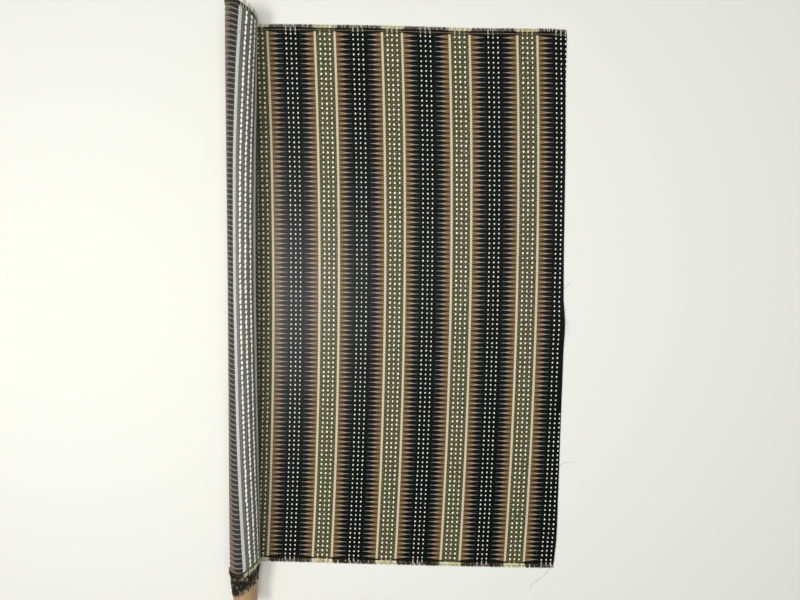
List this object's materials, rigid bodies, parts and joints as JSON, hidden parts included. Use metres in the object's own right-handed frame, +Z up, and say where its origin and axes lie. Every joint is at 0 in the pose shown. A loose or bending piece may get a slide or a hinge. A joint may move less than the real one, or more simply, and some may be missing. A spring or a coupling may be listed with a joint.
{
  "type": "length of fabric",
  "caption": "Length of striped woven upholstery cloth, one end wound face in on a cardboard tube, the other end lying flat, with short selvage fringes.",
  "frame": {"origin": "centre of the part's box, on the surface it lies on", "axes": "+X from the roll to the cut edge, +Y along the tube to the back end, +Z up"},
  "size_m": [0.8953, 1.5798, 0.0782],
  "materials": {
    "jacquard_cloth": "matt woven stripe, dark ground",
    "kraft_cardboard": "plain brown board",
    "weft_fringe": "loose yarn ends, mixed pale and dark"
  },
  "bodies": {
    "root": {"cloth": "jacquard_cloth", "tube": "kraft_cardboard", "fringe_front": "weft_fringe", "fringe_back": "weft_fringe", "fringe_roll_front_1": "weft_fringe", "fringe_roll_front_2": "weft_fringe", "fringe_roll_front_3": "weft_fringe", "fringe_roll_back": "weft_fringe"}
  },
  "joints": []
}
